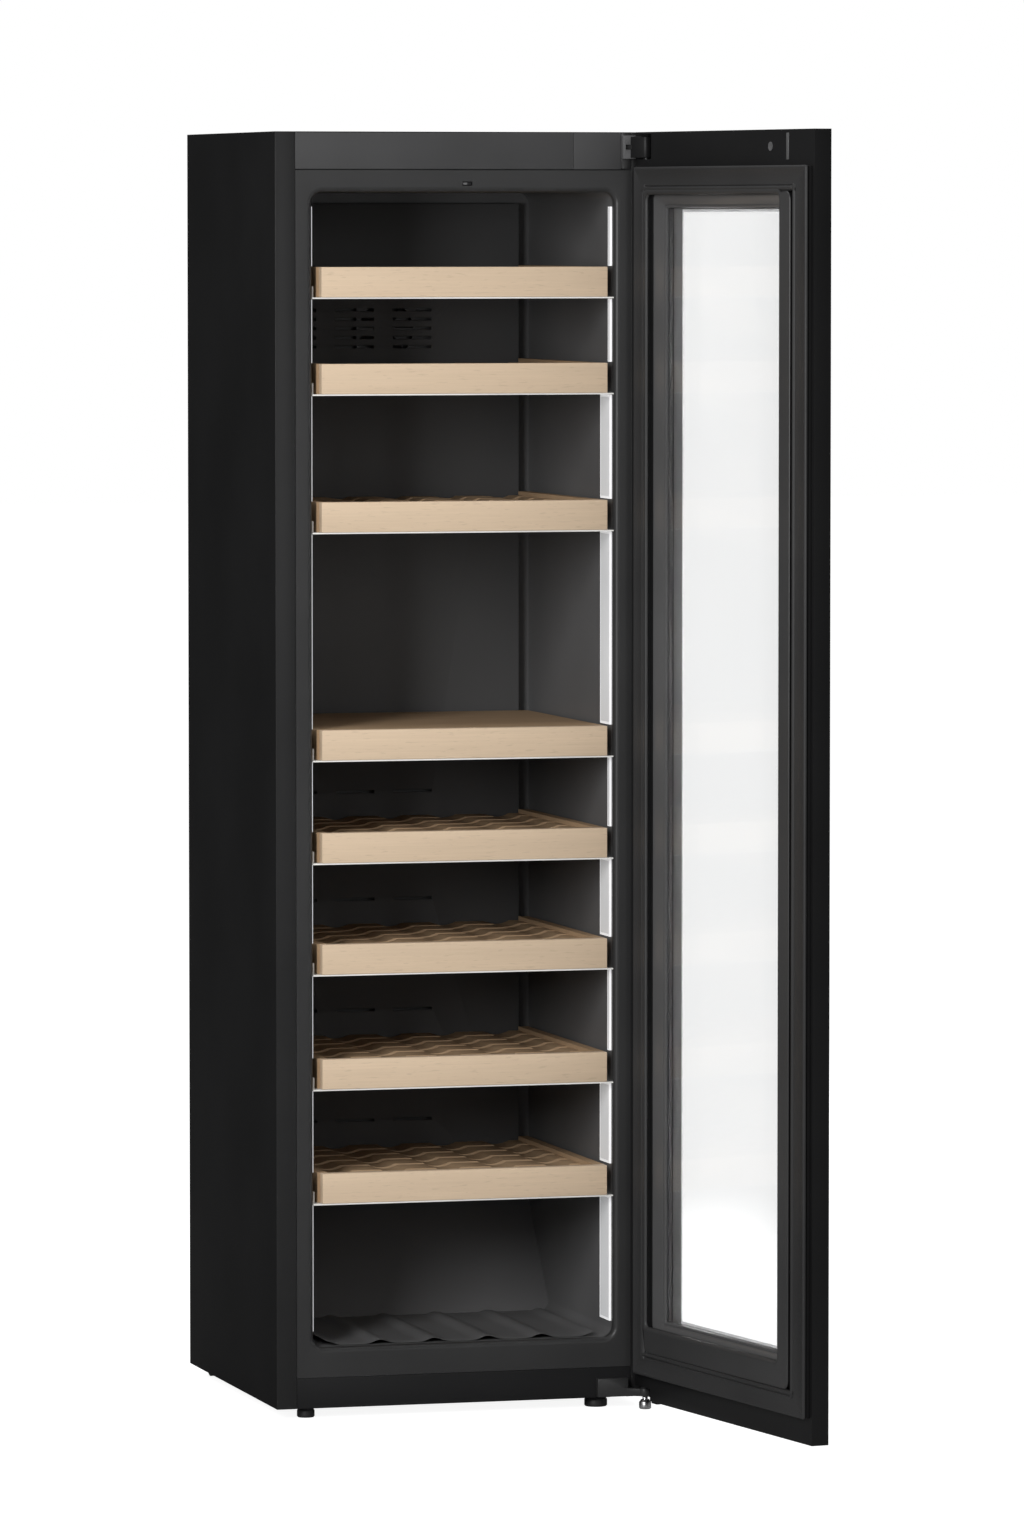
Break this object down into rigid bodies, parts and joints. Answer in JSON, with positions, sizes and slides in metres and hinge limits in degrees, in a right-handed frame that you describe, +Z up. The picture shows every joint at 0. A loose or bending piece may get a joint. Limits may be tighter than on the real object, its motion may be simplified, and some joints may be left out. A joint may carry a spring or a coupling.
{
  "type": "wine cooler",
  "caption": "Tall free-standing wine cooler with a glazed side-hinged door, pull-out beech shelves, side lights and a cooling machine low at the back.",
  "frame": {"origin": "on the floor, under the middle of the bounding box with the door open at its rest angle", "axes": "+Z up, -Y towards the person at the front, +X towards the hinge side"},
  "size_m": [0.665, 1.1118, 1.884],
  "materials": {
    "aluminium": "satin",
    "beech": "satin",
    "beech_deck": "satin",
    "black_gloss": "gloss",
    "black_steel": "matte",
    "bright_steel": "satin",
    "circuit": "satin",
    "dark_plastic": "matte",
    "foam": "matte",
    "gasket_rubber": "matte",
    "glass": "gloss",
    "grey_plastic": "satin",
    "grey_steel": "satin",
    "lamp_plastic": "satin",
    "liner_plastic": "satin",
    "mount_rubber": "matte",
    "white_steel": "satin"
  },
  "bodies": {
    "cabinet": {"side_panel_left": "black_steel", "side_panel_right": "black_steel", "top_panel": "black_steel", "rear_panel": "black_steel", "machine_cover": "black_steel", "base_pan": "grey_steel", "plinth": "black_steel", "front_frame": "dark_plastic", "control_fascia": "dark_plastic", "fascia_end_cover": "dark_plastic", "door_sensor": "black_gloss", "inner_liner": "liner_plastic", "insulation": "foam", "evaporator_plate": "aluminium", "control_board": "circuit", "light_panels": "lamp_plastic", "duct_cover": "liner_plastic", "fan_frame": "grey_plastic", "shelf_runners": "white_steel", "upper_hinge_bracket": "grey_steel", "upper_hinge_cover": "grey_plastic", "lower_hinge_bracket": "grey_steel", "hinge_pins": "bright_steel", "roller_brackets": "grey_steel", "roller_axles": "bright_steel", "compressor": "black_steel", "compressor_mounts": "mount_rubber", "condenser": "aluminium", "condenser_fan_frame": "grey_plastic", "power_inlet": "black_gloss"},
    "door": {"door_shell": "dark_plastic", "front_glass": "glass", "glass_spacer": "aluminium", "inner_glass": "glass", "glazing_bead": "grey_plastic", "inner_frame": "grey_plastic", "gasket": "gasket_rubber"},
    "shelf_1": {"shelf_1_board": "beech", "shelf_1_deck": "beech_deck"},
    "shelf_2": {"shelf_2_board": "beech", "shelf_2_deck": "beech_deck"},
    "shelf_3": {"shelf_3_board": "beech", "shelf_3_deck": "beech_deck"},
    "shelf_4": {"shelf_4_board": "beech", "shelf_4_deck": "beech_deck"},
    "shelf_5": {"shelf_5_board": "beech", "shelf_5_deck": "beech_deck"},
    "shelf_6": {"shelf_6_board": "beech", "shelf_6_deck": "beech_deck"},
    "shelf_7": {"shelf_7_board": "beech", "shelf_7_deck": "beech_deck"},
    "shelf_8": {"shelf_8_board": "beech", "shelf_8_deck": "beech_deck"},
    "foot_left": {"foot_left": "grey_plastic"},
    "foot_right": {"foot_right": "grey_plastic"},
    "hinge_foot": {"hinge_foot": "bright_steel"},
    "roller_left": {"roller_left": "grey_plastic"},
    "roller_right": {"roller_right": "grey_plastic"},
    "fan_rotor": {"fan_rotor": "grey_plastic"},
    "condenser_fan_rotor": {"condenser_fan_rotor": "grey_plastic"}
  },
  "joints": [
    {"name": "door_hinge", "type": "hinge", "parent": "cabinet", "child": "door", "pos_m": [0.2235, -0.00606, 0], "axis": [0, 0, 1], "range_deg": [-99.6, 15.4]},
    {"name": "shelf_1_slide", "type": "slide", "parent": "cabinet", "child": "shelf_1", "axis": [0, -1, 0], "range_m": [0, 0.28]},
    {"name": "shelf_2_slide", "type": "slide", "parent": "cabinet", "child": "shelf_2", "axis": [0, -1, 0], "range_m": [0, 0.28]},
    {"name": "shelf_3_slide", "type": "slide", "parent": "cabinet", "child": "shelf_3", "axis": [0, -1, 0], "range_m": [0, 0.28]},
    {"name": "shelf_4_slide", "type": "slide", "parent": "cabinet", "child": "shelf_4", "axis": [0, -1, 0], "range_m": [0, 0.28]},
    {"name": "shelf_5_slide", "type": "slide", "parent": "cabinet", "child": "shelf_5", "axis": [0, -1, 0], "range_m": [0, 0.28]},
    {"name": "shelf_6_slide", "type": "slide", "parent": "cabinet", "child": "shelf_6", "axis": [0, -1, 0], "range_m": [0, 0.28]},
    {"name": "shelf_7_slide", "type": "slide", "parent": "cabinet", "child": "shelf_7", "axis": [0, -1, 0], "range_m": [0, 0.28]},
    {"name": "shelf_8_slide", "type": "slide", "parent": "cabinet", "child": "shelf_8", "axis": [0, -1, 0], "range_m": [0, 0.28]},
    {"name": "foot_left_screw", "type": "slide", "parent": "cabinet", "child": "foot_left", "axis": [0, 0, -1], "range_m": [0, 0.012]},
    {"name": "foot_right_screw", "type": "slide", "parent": "cabinet", "child": "foot_right", "axis": [0, 0, -1], "range_m": [0, 0.012]},
    {"name": "hinge_foot_screw", "type": "slide", "parent": "cabinet", "child": "hinge_foot", "axis": [0, 0, -1], "range_m": [0, 0.006]},
    {"name": "roller_left_spin", "type": "hinge", "parent": "cabinet", "child": "roller_left", "pos_m": [-0.3025, 0.52094, 0.013], "axis": [1, 0, 0], "continuous": true},
    {"name": "roller_right_spin", "type": "hinge", "parent": "cabinet", "child": "roller_right", "pos_m": [0.2075, 0.52094, 0.013], "axis": [1, 0, 0], "continuous": true},
    {"name": "fan_spin", "type": "hinge", "parent": "cabinet", "child": "fan_rotor", "pos_m": [-0.0475, 0.45894, 1.59], "axis": [0, 1, 0], "continuous": true},
    {"name": "condenser_fan_spin", "type": "hinge", "parent": "cabinet", "child": "condenser_fan_rotor", "pos_m": [0.0525, 0.44794, 0.0635], "axis": [0, 1, 0], "continuous": true}
  ]
}
